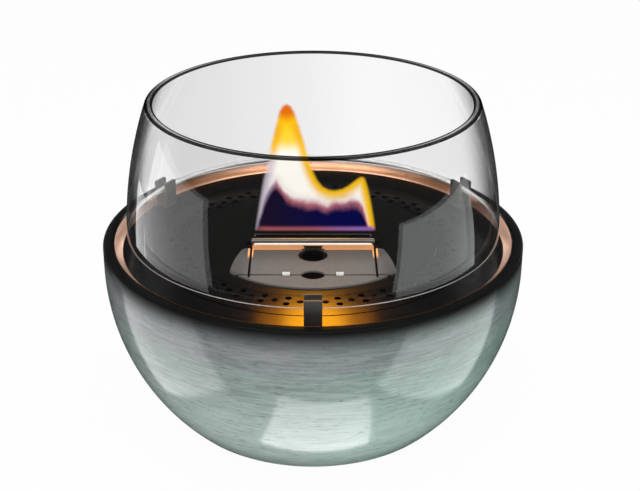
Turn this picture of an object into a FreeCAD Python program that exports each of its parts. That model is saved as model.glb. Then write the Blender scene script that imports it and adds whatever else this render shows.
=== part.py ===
"""Tabletop fireplace: a glazed bowl, a perforated burner plate with a drop-in liquid-fuel
burner, and an open glass chimney that stands on three clips.

Millimetres, +Z up, +X to the right seen from the front, the viewer on -Y.
The origin is on the table, under the middle of the bowl.
"""
import FreeCAD, Part
import math
import os

os.makedirs("parts", exist_ok=True)

Vector = FreeCAD.Vector
UP = Vector(0, 0, 1)
ALONG_X = Vector(1, 0, 0)
FULL_TURN = 360
FRONT_ANGLE = 270
cut_overrun = 1.0

# Glass chimney: its foot sets the clips, and through them the plate, the ring and the bowl
glass_foot_radius = 79.7
glass_top_radius = 69.3
glass_height = 56.8
glass_side_arc = 183.0
glass_wall = 3.3
glass_edge_round = 1.1

# Clips and the seats in them that carry the glass
clip_count = 3
clip_thickness = 1.2
clip_width = 7.0
clip_play = 0.35
clip_grip = 4.4
clip_corner_round = 0.5
seat_height = 6.5
seat_width = 5.6
seat_play = 0.1
rivet_radius = 1.2
rivet_play = 0.05
rivet_head_radius = 2.0
rivet_head_height = 0.8
rivet_head_room = 0.4

# Top plate with its three rows of air holes
plate_drop = 3.7
plate_thickness = 1.2
plate_margin = 0.35
plate_play = 0.25
joggle_wall = 0.8
joggle_seat = 3.0
air_hole_radius = 1.4
air_hole_count = 36
air_row_count = 3
air_row_pitch = 2.45
air_row_land = 0.1
groove_offset = 9.2
groove_width = 0.7
groove_depth = 0.5

# Trim ring, its studs and nuts, and the gasket under it
ring_slope_width = 3.3
ring_play = 0.25
ring_ledge_width = 7.35
ring_ledge_thickness = 1.4
ring_gasket_thickness = 0.8
ring_gasket_play = 0.2
stud_count = 3
stud_radius = 1.5
stud_play = 0.25
stud_proud = 0.8
nut_flats = 5.5
nut_height = 2.4
nut_play = 0.05

# Bowl and its foot pads
bowl_height = 80.4
bowl_rim_width = 4.6
bowl_band_below_seat = 2.3
bowl_flank_arc = 98.7
bowl_wall = 7.0
bowl_floor = 7.0
bowl_rim_round = 0.7
bowl_base_round = 1.2
pad_count = 4
pad_radius = 8.0
pad_circle_radius = 44.0
pad_thickness = 2.2
pad_proud = 0.8
pad_play = 0.2

# Burner head and fuel can
head_play = 0.3
skirt_depth = 7.0
skirt_wall = 0.9
skirt_play = 0.1
can_play = 0.9
can_wall = 0.9
can_height = 54.0
can_corner_round = 3.0
can_gasket_thickness = 0.8
core_height = 24.0
core_play = 0.5
core_under_wick = 4.0

# Wick slot
slot_length = 50.0
slot_width = 3.2
slot_y = 4.5
holder_wall = 0.7
holder_depth = 24.0
wick_play = 0.15
wick_drop = 0.3

# Snuffer and its rails
snuffer_sheet = 0.5
snuffer_lift = 0.05
snuffer_hem_depth = 2.5
snuffer_hem_height = 1.25
snuffer_hem_round = 0.3
snuffer_sheet_depth = 2.9
snuffer_hem_past_slot = 1.4
snuffer_sheet_past_hem = 1.4
snuffer_set_back = 0.5
snuffer_cover = 0.9
rail_wall = 1.0
rail_play = 0.25
rail_lip = 0.6

# Refill flap, its hinges, and the leaves round it
sheet_thickness = 0.8
flap_half_width = 25.8
flap_side_gap = 1.0
flap_length = 24.4
flap_set_forward = 7.0
lip_thickness = 1.4
lip_height = 2.4
lip_corner_round = 1.7
window_top_half = 4.6
window_foot_half = 3.5
window_rail = 0.6
filler_hole_radius = 6.3
filler_hole_inset = 5.5
seam_gap = 0.4
finger_hole_half_width = 5.2
finger_hole_half_height = 4.0
hinge_x = 11.0
knuckle_radius = 1.0
knuckle_length = 0.95
knuckle_gap = 0.1
knuckle_room = 0.3
knuckle_lift = 0.05
pin_radius = 0.45
pin_play = 0.05
leaf_corner_depth = 3.4
leaf_margin = 5.9
ear_width = 7.5
ear_side_arc = 75.0
leaf_rear_past_lip = 0.2
leaf_corner_round = 2.5
ear_seam_rise = 3.5
relief_slit_share = 0.7

# Filler neck and strainer under the flap's round hole
neck_bore_radius = 5.4
neck_wall = 1.0
neck_length = 20.0
strainer_play = 0.1
strainer_wall = 0.5
strainer_rim_width = 0.5
strainer_rim_height = 0.4
strainer_depth = 17.0
strainer_hole_radius = 0.6
strainer_hole_count = 8
strainer_row_count = 3
strainer_row_pitch = 4.0

# Heights, from the table up
rim_z = pad_proud + bowl_height
plate_top = rim_z - plate_drop
plate_bottom = plate_top - plate_thickness
ring_bottom = plate_bottom - ring_ledge_thickness
ring_seat_z = ring_bottom - ring_gasket_thickness
band_z = ring_seat_z - bowl_band_below_seat
floor_z = pad_proud + bowl_floor
clip_base_top = plate_top + clip_thickness
glass_foot_z = clip_base_top + seat_height
glass_top_z = glass_foot_z + glass_height
clip_top_z = glass_foot_z + clip_grip
can_top_z = plate_bottom - can_gasket_thickness
can_foot_z = can_top_z - can_height
can_floor_z = can_foot_z + can_wall
wick_foot_z = can_floor_z + core_under_wick
sheet_top = plate_top + sheet_thickness
hinge_z = plate_top + knuckle_lift + knuckle_radius


def side_arc_centre():
    """Centre, in radius and height, of the arc that the glass's outer side follows."""
    chord_r = glass_top_radius - glass_foot_radius
    chord = math.hypot(chord_r, glass_height)
    reach = math.sqrt(glass_side_arc ** 2 - (chord / 2) ** 2)
    mid_r = (glass_foot_radius + glass_top_radius) / 2
    mid_z = glass_foot_z + glass_height / 2
    return mid_r - reach * glass_height / chord, mid_z + reach * chord_r / chord


def glass_radius(z, depth):
    """Radius of the glass at height z, at a depth into its wall."""
    centre_r, centre_z = side_arc_centre()
    return centre_r + math.sqrt((glass_side_arc - depth) ** 2 - (z - centre_z) ** 2)


# Radii, from the glass outwards
gripped_heights = (glass_foot_z, clip_top_z)
clip_outer_inside = max(glass_radius(z, 0) for z in gripped_heights) + clip_play
clip_outer_face = clip_outer_inside + clip_thickness
clip_inner_outside = min(glass_radius(z, glass_wall) for z in gripped_heights) - clip_play
clip_inner_face = clip_inner_outside - clip_thickness
clip_mid_radius = (clip_outer_face + clip_inner_face) / 2
plate_radius = clip_outer_face + plate_margin
ring_bore = plate_radius + plate_play
ring_radius = ring_bore + ring_slope_width
ring_ledge_bore = ring_bore - ring_ledge_width
rebate_radius = ring_radius + ring_play
bowl_radius = rebate_radius + bowl_rim_width
bowl_bore = bowl_radius - bowl_wall
flank_centre_r = bowl_radius - bowl_flank_arc

# Places along Y of the snuffer, the flap and the hinge seam
slot_front_y = slot_y - slot_width / 2
snuffer_rear_y = slot_front_y - snuffer_set_back
snuffer_hem_rear_y = snuffer_rear_y - snuffer_sheet_depth
snuffer_front_y = snuffer_hem_rear_y - snuffer_hem_depth
snuffer_travel = slot_width + snuffer_set_back + snuffer_cover
hem_half = slot_length / 2 + snuffer_hem_past_slot
blade_half = hem_half + snuffer_sheet_past_hem
lip_rear_y = snuffer_front_y - flap_set_forward
lip_front_y = lip_rear_y - lip_thickness
seam_y = lip_front_y - flap_length
filler_y = lip_front_y - filler_hole_inset
leaf_rear_y = lip_rear_y - leaf_rear_past_lip
ear_inner_x = flap_half_width + flap_side_gap

# Radii of the burner, from the leaf in front of the flap outwards and inwards
leaf_radius = math.hypot(ear_inner_x, leaf_corner_depth - seam_y)
head_radius = leaf_radius + leaf_margin
ear_arc_offset = ear_side_arc - ear_inner_x - ear_width
opening_radius = head_radius + head_play
joggle_radius = opening_radius + joggle_wall
joggle_bore = head_radius - joggle_seat
first_row_radius = joggle_radius + air_row_land + air_hole_radius
last_row_radius = first_row_radius + air_row_pitch * (air_row_count - 1)
groove_radius = last_row_radius + groove_offset
can_radius = joggle_bore - can_play
can_bore = can_radius - can_wall
skirt_radius = can_bore - skirt_play


def polygon(points):
    """Closed face through (radius, height) points, in the XZ plane."""
    corners = [Vector(r, 0, z) for r, z in points]
    return Part.Face(Part.makePolygon(corners + corners[:1]))


def lathe(face):
    """Full turn of a face about the vertical axis."""
    return face.revolve(Vector(0, 0, 0), UP, FULL_TURN)


def tube(outer, bore, foot, top):
    """Upright ring between two heights."""
    return lathe(polygon([(bore, foot), (outer, foot), (outer, top), (bore, top)]))


def rod(radius, x, y, foot, top):
    """Upright round bar between two heights."""
    return Part.makeCylinder(radius, top - foot, Vector(x, y, foot), UP)


def block(x0, x1, y0, y1, z0, z1):
    """Box between two corners."""
    return Part.makeBox(x1 - x0, y1 - y0, z1 - z0, Vector(x0, y0, z0))


def slab(points, foot, top):
    """Flat plate with a straight-sided outline of (x, y) points."""
    corners = [Vector(x, y, foot) for x, y in points]
    return Part.Face(Part.makePolygon(corners + corners[:1])).extrude(Vector(0, 0, top - foot))


def turned(shape, angle):
    """Copy of a shape turned about the vertical axis."""
    copy = shape.copy()
    copy.rotate(Vector(0, 0, 0), UP, angle)
    return copy


def around(shape, count, start):
    """Copies of a shape spread evenly round the vertical axis."""
    return [turned(shape, start + FULL_TURN * i / count) for i in range(count)]


def round_edges(shape, radius, chosen):
    """Fillet of the edges that a test chooses."""
    return shape.makeFillet(radius, [edge for edge in shape.Edges if chosen(edge)])


def is_level_circle(edge, z):
    """True for a whole horizontal circle at height z."""
    box = edge.BoundBox
    flat = box.ZLength < cut_overrun * 1e-6
    return flat and edge.isClosed() and abs(box.ZMin - z) < cut_overrun * 1e-6


def is_upright(edge):
    """True for a straight vertical edge."""
    box = edge.BoundBox
    return box.XLength + box.YLength < cut_overrun * 1e-6


def is_along_x(edge):
    """True for a straight edge along X."""
    box = edge.BoundBox
    return box.YLength + box.ZLength < cut_overrun * 1e-6


def is_along_y(edge):
    """True for a straight edge along Y."""
    box = edge.BoundBox
    return box.XLength + box.ZLength < cut_overrun * 1e-6


def is_above(edge, z):
    """True for an edge that lies wholly above a height."""
    return edge.BoundBox.ZMin > z


def is_behind(edge, y):
    """True for an edge that lies wholly behind a place along Y."""
    return edge.BoundBox.YMin > y


def is_tab_corner(edge):
    """True for the edges at the top corners of a clip's tabs."""
    return is_along_x(edge) and is_above(edge, glass_foot_z)


def clip_angles():
    """Angles of the clips: one in front, the others spread evenly from it."""
    return [FRONT_ANGLE + FULL_TURN * i / clip_count for i in range(clip_count)]


def flank_radius(z, depth):
    """Radius of the bowl's flank at height z, at a depth into its wall."""
    return flank_centre_r + math.sqrt((bowl_flank_arc - depth) ** 2 - (band_z - z) ** 2)


def flank_arc(z0, z1, depth):
    """Arc of the bowl's flank between two heights."""
    heights = (z0, (z0 + z1) / 2, z1)
    return Part.Arc(*[Vector(flank_radius(z, depth), 0, z) for z in heights]).toShape()


def make_bowl():
    """Cast bowl: flat base, round flank, upright band and a rebate for the trim ring."""
    base_radius = flank_radius(pad_proud, 0)
    foot = [Vector(0, 0, floor_z), Vector(0, 0, pad_proud), Vector(base_radius, 0, pad_proud)]
    mouth = [
        Vector(bowl_radius, 0, band_z),
        Vector(bowl_radius, 0, rim_z),
        Vector(rebate_radius, 0, rim_z),
        Vector(rebate_radius, 0, ring_seat_z),
        Vector(bowl_bore, 0, ring_seat_z),
        Vector(bowl_bore, 0, band_z),
    ]
    floor = [Vector(flank_radius(floor_z, bowl_wall), 0, floor_z), Vector(0, 0, floor_z)]
    edges = Part.makePolygon(foot).Edges + [flank_arc(pad_proud, band_z, 0)]
    edges += Part.makePolygon(mouth).Edges + [flank_arc(band_z, floor_z, bowl_wall)]
    edges += Part.makePolygon(floor).Edges
    bowl = lathe(Part.Face(Part.Wire(edges)))
    bowl = round_edges(bowl, bowl_rim_round, lambda edge: is_level_circle(edge, rim_z))
    bowl = round_edges(bowl, bowl_base_round, lambda edge: is_level_circle(edge, pad_proud))
    pocket = rod(pad_radius + pad_play, pad_circle_radius, 0, pad_proud - cut_overrun, pad_thickness)
    return bowl.cut(around(pocket, pad_count, FULL_TURN / pad_count / 2))


def make_foot_pads():
    """Round pads set into the bowl's base."""
    pad = rod(pad_radius, pad_circle_radius, 0, 0, pad_thickness)
    pad = round_edges(pad, pad_proud / 2, lambda edge: is_level_circle(edge, 0))
    return Part.makeCompound(around(pad, pad_count, FULL_TURN / pad_count / 2))


def make_ring_gasket():
    """Flat gasket between the bowl's rebate and the trim ring."""
    return tube(ring_radius, bowl_bore + ring_gasket_play, ring_seat_z, ring_bottom)


def make_trim_ring():
    """Turned ring with a sloping face, and a ledge that carries the top plate."""
    section = [
        (ring_radius, ring_bottom),
        (ring_radius, rim_z),
        (ring_bore, plate_top),
        (ring_bore, plate_bottom),
        (ring_ledge_bore, plate_bottom),
        (ring_ledge_bore, ring_bottom),
    ]
    ring = lathe(polygon(section))
    foot, top = ring_bottom - cut_overrun, plate_bottom + cut_overrun
    stud_hole = rod(stud_radius + stud_play, clip_mid_radius, 0, foot, top)
    head_hole = rod(rivet_head_radius + rivet_head_room, clip_mid_radius, 0, foot, top)
    ring = ring.cut(around(stud_hole, stud_count, FRONT_ANGLE + FULL_TURN / stud_count / 2))
    return ring.cut([turned(head_hole, angle) for angle in clip_angles()])


def make_plate_studs():
    """Weld studs under the top plate, through the ring's ledge."""
    stud = rod(stud_radius, clip_mid_radius, 0, ring_bottom - nut_height - stud_proud, plate_bottom)
    return Part.makeCompound(around(stud, stud_count, FRONT_ANGLE + FULL_TURN / stud_count / 2))


def make_plate_nuts():
    """Hexagon nuts that hold the plate's studs to the ring."""
    sides = 6
    corner = nut_flats / 2 / math.cos(math.pi / sides)
    turns = [2 * math.pi * i / sides for i in range(sides)]
    outline = [(clip_mid_radius + corner * math.cos(t), corner * math.sin(t)) for t in turns]
    foot = ring_bottom - nut_height
    nut = slab(outline, foot, ring_bottom)
    bore = rod(stud_radius + nut_play, clip_mid_radius, 0, foot - cut_overrun, ring_bottom + cut_overrun)
    nut = nut.cut(bore)
    return Part.makeCompound(around(nut, stud_count, FRONT_ANGLE + FULL_TURN / stud_count / 2))


def make_top_plate():
    """Pressed disc with a sunk seat for the burner head, air holes and a circular groove."""
    seat_foot = plate_bottom - plate_thickness
    groove_in, groove_out = groove_radius - groove_width / 2, groove_radius + groove_width / 2
    groove_floor = plate_top - groove_depth
    section = [
        (joggle_bore, seat_foot),
        (joggle_radius, seat_foot),
        (joggle_radius, plate_bottom),
        (plate_radius, plate_bottom),
        (plate_radius, plate_top),
        (groove_out, plate_top),
        (groove_out, groove_floor),
        (groove_in, groove_floor),
        (groove_in, plate_top),
        (opening_radius, plate_top),
        (opening_radius, plate_bottom),
        (joggle_bore, plate_bottom),
    ]
    plate = lathe(polygon(section))
    foot, top = plate_bottom - cut_overrun, plate_top + cut_overrun
    pitch = FULL_TURN / air_hole_count
    holes = []
    for row in range(air_row_count):
        hole = rod(air_hole_radius, first_row_radius + air_row_pitch * row, 0, foot, top)
        holes += around(hole, air_hole_count, pitch / 2 * (row % 2))
    rivet_hole = rod(rivet_radius + rivet_play, clip_mid_radius, 0, foot, top)
    return plate.cut(holes + [turned(rivet_hole, angle) for angle in clip_angles()])


def make_clip(angle):
    """U-shaped strip, riveted to the plate, whose two tabs hold the foot of the glass."""
    half = clip_width / 2
    clip = block(clip_inner_face, clip_outer_face, -half, half, plate_top, clip_top_z)
    room = block(clip_inner_outside, clip_outer_inside, -clip_width, clip_width, clip_base_top, glass_top_z)
    clip = clip.cut(room)
    clip = round_edges(clip, clip_corner_round, is_tab_corner)
    foot, top = plate_top - cut_overrun, clip_base_top + cut_overrun
    hole = rod(rivet_radius + rivet_play, clip_mid_radius, 0, foot, top)
    return turned(clip.cut(hole), angle)


def make_clip_rivets():
    """Rivets through the clips and the plate, with their heads under the plate."""
    shank = rod(rivet_radius, clip_mid_radius, 0, plate_bottom, clip_base_top)
    head = rod(rivet_head_radius, clip_mid_radius, 0, plate_bottom - rivet_head_height, plate_bottom)
    rivet = shank.fuse(head).removeSplitter()
    return Part.makeCompound([turned(rivet, angle) for angle in clip_angles()])


def make_glass_seats():
    """Heat-proof blocks in the clips, under the edge of the glass."""
    half = seat_width / 2
    inner, outer = clip_inner_outside + seat_play, clip_outer_inside - seat_play
    seat = block(inner, outer, -half, half, clip_base_top, glass_foot_z)
    return Part.makeCompound([turned(seat, angle) for angle in clip_angles()])


def make_glass():
    """Open chimney, narrower at its top, with fire-rounded edges."""
    heights = (glass_foot_z, glass_foot_z + glass_height / 2, glass_top_z)
    outer = [Vector(glass_radius(z, 0), 0, z) for z in heights]
    inner = [Vector(glass_radius(z, glass_wall), 0, z) for z in heights]
    edges = [
        Part.Arc(*outer).toShape(),
        Part.LineSegment(outer[-1], inner[-1]).toShape(),
        Part.Arc(*reversed(inner)).toShape(),
        Part.LineSegment(inner[0], outer[0]).toShape(),
    ]
    glass = lathe(Part.Face(Part.Wire(edges)))
    glass = round_edges(glass, glass_edge_round, lambda edge: is_level_circle(edge, glass_foot_z))
    return round_edges(glass, glass_edge_round, lambda edge: is_level_circle(edge, glass_top_z))


def slot_block(margin, foot, top):
    """Upright block over the wick slot, wider than it by a margin all round."""
    half = slot_length / 2 + margin
    reach = slot_width / 2 + margin
    return block(-half, half, slot_y - reach, slot_y + reach, foot, top)


def make_burner_head():
    """Disc that drops into the top plate, with a skirt that the fuel can pushes onto."""
    disc = rod(head_radius, 0, 0, plate_bottom, plate_top)
    skirt = tube(skirt_radius, skirt_radius - skirt_wall, plate_bottom - skirt_depth, plate_bottom)
    head = disc.fuse(skirt).removeSplitter()
    foot, top = plate_bottom - cut_overrun, plate_top + cut_overrun
    return head.cut([slot_block(holder_wall, foot, top), rod(neck_bore_radius, 0, filler_y, foot, top)])


def make_can_gasket():
    """Gasket between the head and the can's rim."""
    return tube(can_radius, skirt_radius + skirt_play, can_top_z, plate_bottom)


def make_fuel_can():
    """Drawn fuel can with a rounded foot."""
    can = rod(can_radius, 0, 0, can_foot_z, can_top_z)
    can = round_edges(can, can_corner_round, lambda edge: is_level_circle(edge, can_foot_z))
    room = rod(can_bore, 0, 0, can_floor_z, can_top_z + cut_overrun)
    inner_round = can_corner_round - can_wall
    room = round_edges(room, inner_round, lambda edge: is_level_circle(edge, can_floor_z))
    return can.cut(room)


def make_fibre_core():
    """Absorbent fibre pad on the can's floor, with a pocket for the wick."""
    core = rod(can_bore - core_play, 0, 0, can_floor_z, can_floor_z + core_height)
    inner_round = can_corner_round - can_wall
    core = round_edges(core, inner_round, lambda edge: is_level_circle(edge, can_floor_z))
    return core.cut(slot_block(wick_play, wick_foot_z, can_top_z))


def make_wick_holder():
    """Sheet sleeve round the wick, flush with the head's top."""
    foot = plate_top - holder_depth
    sleeve = slot_block(holder_wall, foot, plate_top)
    return sleeve.cut(slot_block(0, foot - cut_overrun, plate_top + cut_overrun))


def make_wick():
    """Fibre board that stands in the core and ends just under the slot's mouth."""
    return slot_block(-wick_play, wick_foot_z, plate_top - wick_drop)


def make_filler_neck():
    """Tube under the filler hole of the head."""
    foot, top = plate_bottom - neck_length, plate_bottom
    neck = rod(neck_bore_radius + neck_wall, 0, filler_y, foot, top)
    return neck.cut(rod(neck_bore_radius, 0, filler_y, foot - cut_overrun, top + cut_overrun))


def make_filler_strainer():
    """Perforated thimble that hangs in the neck by its rim."""
    outer = neck_bore_radius - strainer_play
    foot = plate_top - strainer_depth
    rim_radius = neck_bore_radius + strainer_rim_width
    rim = rod(rim_radius, 0, filler_y, plate_top, plate_top + strainer_rim_height)
    thimble = rod(outer, 0, filler_y, foot, plate_top).fuse(rim).removeSplitter()
    bore = rod(outer - strainer_wall, 0, filler_y, foot + strainer_wall, sheet_top + cut_overrun)
    cuts = [bore]
    for row in range(strainer_row_count):
        height = foot + strainer_row_pitch * (row + 1 / 2)
        for i in range(strainer_hole_count):
            angle = 2 * math.pi * i / strainer_hole_count
            way = Vector(math.cos(angle), math.sin(angle), 0)
            start = Vector(0, filler_y, height)
            cuts.append(Part.makeCylinder(strainer_hole_radius, outer + cut_overrun, start, way))
    return thimble.cut(cuts)


def make_snuffer():
    """Sheet blade with a folded front edge, pushed back over the slot to put the flame out."""
    foot = plate_top + snuffer_lift
    sheet = block(-blade_half, blade_half, snuffer_front_y, snuffer_rear_y, foot, foot + snuffer_sheet)
    hem = block(-hem_half, hem_half, snuffer_front_y, snuffer_hem_rear_y, foot, foot + snuffer_hem_height)
    hem_top = foot + snuffer_hem_height - snuffer_hem_round
    hem = round_edges(hem, snuffer_hem_round, lambda edge: is_along_x(edge) and is_above(edge, hem_top))
    return sheet.fuse(hem).removeSplitter()


def make_snuffer_rails():
    """Two channels that hold the ends of the snuffer blade down and stop its travel."""
    sheet_room = plate_top + snuffer_lift + snuffer_sheet + rail_play
    channel_front = snuffer_front_y - rail_play
    channel_rear = snuffer_rear_y + snuffer_travel + rail_play
    lip_x = hem_half + rail_play
    channel_x = blade_half + rail_play
    rail = block(lip_x, channel_x + rail_wall, channel_front - rail_wall, channel_rear + rail_wall,
                 plate_top, sheet_room + rail_lip)
    foot = plate_top - cut_overrun
    channel = block(lip_x - cut_overrun, channel_x, channel_front, channel_rear, foot, sheet_room)
    rail = rail.cut(channel)
    return Part.makeCompound([rail, rail.mirror(Vector(0, 0, 0), ALONG_X)])


def leaf_outline():
    """The rounded plate that the leaves and the flap are cut from."""
    foot, top = plate_top, sheet_top
    disc = rod(leaf_radius, 0, 0, foot, top)
    left, right = (rod(ear_side_arc, side * ear_arc_offset, seam_y, foot, top) for side in (1, -1))
    reach = head_radius + cut_overrun
    front = block(-reach, reach, -reach, leaf_rear_y, foot - cut_overrun, top + cut_overrun)
    plate = disc.common(left).common(right).common(front).removeSplitter()
    rear = leaf_rear_y - leaf_corner_round
    return round_edges(plate, leaf_corner_round, lambda edge: is_upright(edge) and is_behind(edge, rear))


def behind_seam(shift):
    """Everything behind the seam line, which rises along the ears, moved along Y."""
    reach = head_radius
    rise = ear_seam_rise * (reach - ear_inner_x) / ear_width
    line = seam_y + shift
    points = [(-reach, reach), (-reach, line + rise), (-ear_inner_x, line), (ear_inner_x, line),
              (reach, line + rise), (reach, reach)]
    return slab(points, plate_top - cut_overrun, glass_top_z)


def finger_hole():
    """Pointed oval hole across the seam, from two arcs."""
    arc = (finger_hole_half_width ** 2 + finger_hole_half_height ** 2) / (2 * finger_hole_half_height)
    shift = arc - finger_hole_half_height
    foot, top = plate_top - cut_overrun, sheet_top + cut_overrun
    return rod(arc, 0, seam_y + shift, foot, top).common(rod(arc, 0, seam_y - shift, foot, top))


def knuckle_places(fixed):
    """Middle of each hinge knuckle along X: the fixed one, or the two of the flap beside it."""
    step = knuckle_length + knuckle_gap
    offsets = [0] if fixed else [-step, step]
    return [side * hinge_x + offset for side in (-1, 1) for offset in offsets]


def knuckle(x, towards):
    """Barrel on the hinge line, with the web that joins it to its sheet."""
    start = x - knuckle_length / 2
    barrel = Part.makeCylinder(knuckle_radius, knuckle_length, Vector(start, seam_y, hinge_z), ALONG_X)
    y0, y1 = sorted((seam_y, seam_y + towards * (knuckle_radius + knuckle_room + seam_gap)))
    web = block(start, start + knuckle_length, y0, y1, plate_top, sheet_top)
    return barrel.fuse(web)


def knuckle_clearance(x, towards):
    """Notch in a sheet that lets the other sheet's knuckle pass."""
    half = knuckle_length / 2 + knuckle_gap
    y0, y1 = sorted((seam_y, seam_y + towards * (knuckle_radius + knuckle_room)))
    return block(x - half, x + half, y0, y1, plate_top - cut_overrun, sheet_top + cut_overrun)


def hinge_rods(radius, length):
    """A round bar on the hinge line through each of the two hinges."""
    starts = [Vector(side * hinge_x - length / 2, seam_y, hinge_z) for side in (-1, 1)]
    return [Part.makeCylinder(radius, length, start, ALONG_X) for start in starts]


def pin_bores():
    """Holes through the knuckles for the hinge pins."""
    return hinge_rods(pin_radius + pin_play, hinge_x)


def make_front_leaf():
    """Fixed leaf in front of the seam, with the middle knuckle of each hinge."""
    leaf = leaf_outline().cut([behind_seam(-seam_gap / 2), finger_hole()])
    edge_y = -math.sqrt(leaf_radius ** 2 - ear_inner_x ** 2)
    slit_foot = seam_y + relief_slit_share * (edge_y - seam_y)
    for side in (-1, 1):
        x0, x1 = sorted((side * flap_half_width, side * ear_inner_x))
        leaf = leaf.cut(block(x0, x1, slit_foot, seam_y, plate_top - cut_overrun, sheet_top + cut_overrun))
    leaf = leaf.cut([knuckle_clearance(x, -1) for x in knuckle_places(False)])
    leaf = leaf.fuse([knuckle(x, -1) for x in knuckle_places(True)])
    return leaf.cut(pin_bores()).removeSplitter()


def make_side_leaf(side):
    """Fixed ear beside the flap."""
    x0, x1 = sorted((side * ear_inner_x, side * head_radius))
    zone = block(x0, x1, -head_radius, head_radius, plate_top, sheet_top)
    return leaf_outline().common(zone).common(behind_seam(seam_gap / 2)).removeSplitter()


def make_refill_flap():
    """Hinged flap over the filler, with a tool hole and an upturned lip with a window."""
    half = flap_half_width
    sheet = block(-half, half, seam_y + seam_gap / 2, lip_rear_y, plate_top, sheet_top)
    lip_top = sheet_top + lip_height
    lip = block(-half, half, lip_front_y, lip_rear_y, sheet_top, lip_top)
    shoulder = sheet_top + lip_height / 2
    lip = round_edges(lip, lip_corner_round, lambda edge: is_along_y(edge) and is_above(edge, shoulder))
    flap = sheet.fuse(lip).removeSplitter()
    window_top = lip_top - window_rail
    window = Part.makePolygon([Vector(x, lip_front_y - cut_overrun, z) for x, z in (
        (-window_foot_half, sheet_top), (window_foot_half, sheet_top), (window_top_half, window_top),
        (-window_top_half, window_top), (-window_foot_half, sheet_top))])
    window = Part.Face(window).extrude(Vector(0, lip_thickness + 2 * cut_overrun, 0))
    hole = rod(filler_hole_radius, 0, filler_y, plate_top - cut_overrun, sheet_top)
    flap = flap.cut([window, hole, finger_hole()])
    flap = flap.cut([knuckle_clearance(x, 1) for x in knuckle_places(True)])
    flap = flap.fuse([knuckle(x, 1) for x in knuckle_places(False)])
    return flap.cut(pin_bores()).removeSplitter()


def make_hinge_pins():
    """Short pins through the knuckles."""
    return Part.makeCompound(hinge_rods(pin_radius, 3 * knuckle_length + 2 * knuckle_gap))


front, right, left = clip_angles()
pieces = {
    "bowl": make_bowl(),
    "foot_pads": make_foot_pads(),
    "ring_gasket": make_ring_gasket(),
    "trim_ring": make_trim_ring(),
    "plate_studs": make_plate_studs(),
    "plate_nuts": make_plate_nuts(),
    "top_plate": make_top_plate(),
    "clip_front": make_clip(front),
    "clip_right": make_clip(right),
    "clip_left": make_clip(left),
    "clip_rivets": make_clip_rivets(),
    "glass_seats": make_glass_seats(),
    "glass_chimney": make_glass(),
    "burner_head": make_burner_head(),
    "can_gasket": make_can_gasket(),
    "fuel_can": make_fuel_can(),
    "fibre_core": make_fibre_core(),
    "wick_holder": make_wick_holder(),
    "wick": make_wick(),
    "filler_neck": make_filler_neck(),
    "filler_strainer": make_filler_strainer(),
    "snuffer": make_snuffer(),
    "snuffer_rails": make_snuffer_rails(),
    "front_leaf": make_front_leaf(),
    "side_leaf_left": make_side_leaf(-1),
    "side_leaf_right": make_side_leaf(1),
    "refill_flap": make_refill_flap(),
    "hinge_pins": make_hinge_pins(),
}

for name, shape in pieces.items():
    shape.exportStep("parts/" + name + ".step")
    state = "valid" if shape.isValid() else "NOT VALID"
    print(name, len(shape.Solids), "solids", round(shape.Volume), "mm3", state)

print("hinge at", round(seam_y, 3), round(hinge_z, 3), "snuffer travel", round(snuffer_travel, 3))
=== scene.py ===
"""Tabletop fireplace: a glazed bowl, a perforated burner plate, a drop-in burner and an open glass chimney.

Metres, +Z up, the viewer on -Y. Sizes in the sections are in millimetres, and a pair such as fade_z is
the place where a mark starts and the place where it is full.
"""
import math

import bmesh
import bpy
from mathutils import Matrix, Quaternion, Vector


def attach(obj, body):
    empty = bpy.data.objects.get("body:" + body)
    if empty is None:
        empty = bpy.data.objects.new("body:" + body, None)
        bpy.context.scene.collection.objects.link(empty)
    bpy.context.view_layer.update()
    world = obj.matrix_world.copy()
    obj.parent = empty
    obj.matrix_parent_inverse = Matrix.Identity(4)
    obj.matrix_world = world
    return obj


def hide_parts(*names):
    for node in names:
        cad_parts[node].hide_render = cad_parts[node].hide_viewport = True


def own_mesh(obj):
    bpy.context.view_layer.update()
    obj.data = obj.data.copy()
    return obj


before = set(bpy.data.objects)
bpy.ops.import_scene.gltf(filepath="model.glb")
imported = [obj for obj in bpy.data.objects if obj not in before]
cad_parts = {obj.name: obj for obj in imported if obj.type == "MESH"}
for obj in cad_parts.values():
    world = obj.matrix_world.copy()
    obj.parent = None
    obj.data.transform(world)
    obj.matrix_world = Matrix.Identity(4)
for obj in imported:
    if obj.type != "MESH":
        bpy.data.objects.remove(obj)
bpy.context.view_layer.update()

# Bowl
# Slip-cast stoneware with a flat base, a round flank and an upright band at the mouth. A celadon glaze is
# brushed on level by level. It fades to black at the rim. The paler glaze low on the flank is painted light
# bounced from the floor, and a pale line on the rim's inner edge at the back is a painted highlight.
MM = 0.001
TURN_STEPS = 192
MERGE_GAP, CORNER_REACH = 0.002, 0.01
bowl_radius, bowl_rim_z, bowl_base_z = 90.0, 81.2, 0.8
bowl_flank_arc, bowl_band_z, bowl_wall = 98.7, 71.8, 7.0
bowl_floor_z, ring_rebate_radius, ring_seat_z = 7.8, 85.4, 74.1
bowl_rim_round, bowl_base_round = 0.7, 1.2
flank_steps, inside_steps = 40, 24


def point(bm, radius, z):
    """One vertex of an outline, by its radius and height."""
    return bm.verts.new((radius * MM, 0, z * MM))


def join(bm, *verts):
    """Straight edges from vertex to vertex."""
    for pair in zip(verts, verts[1:]):
        bm.edges.new(pair)


def sweep(bm, start, centre, degrees, steps):
    """Arc from a vertex round a centre in the outline's plane; gives its last vertex."""
    hub, angle = (centre[0] * MM, 0, centre[1] * MM), math.radians(degrees)
    arc = bmesh.ops.spin(bm, geom=[start], cent=hub, axis=(0, 1, 0), angle=angle, steps=steps)
    return arc["geom_last"][0]


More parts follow.
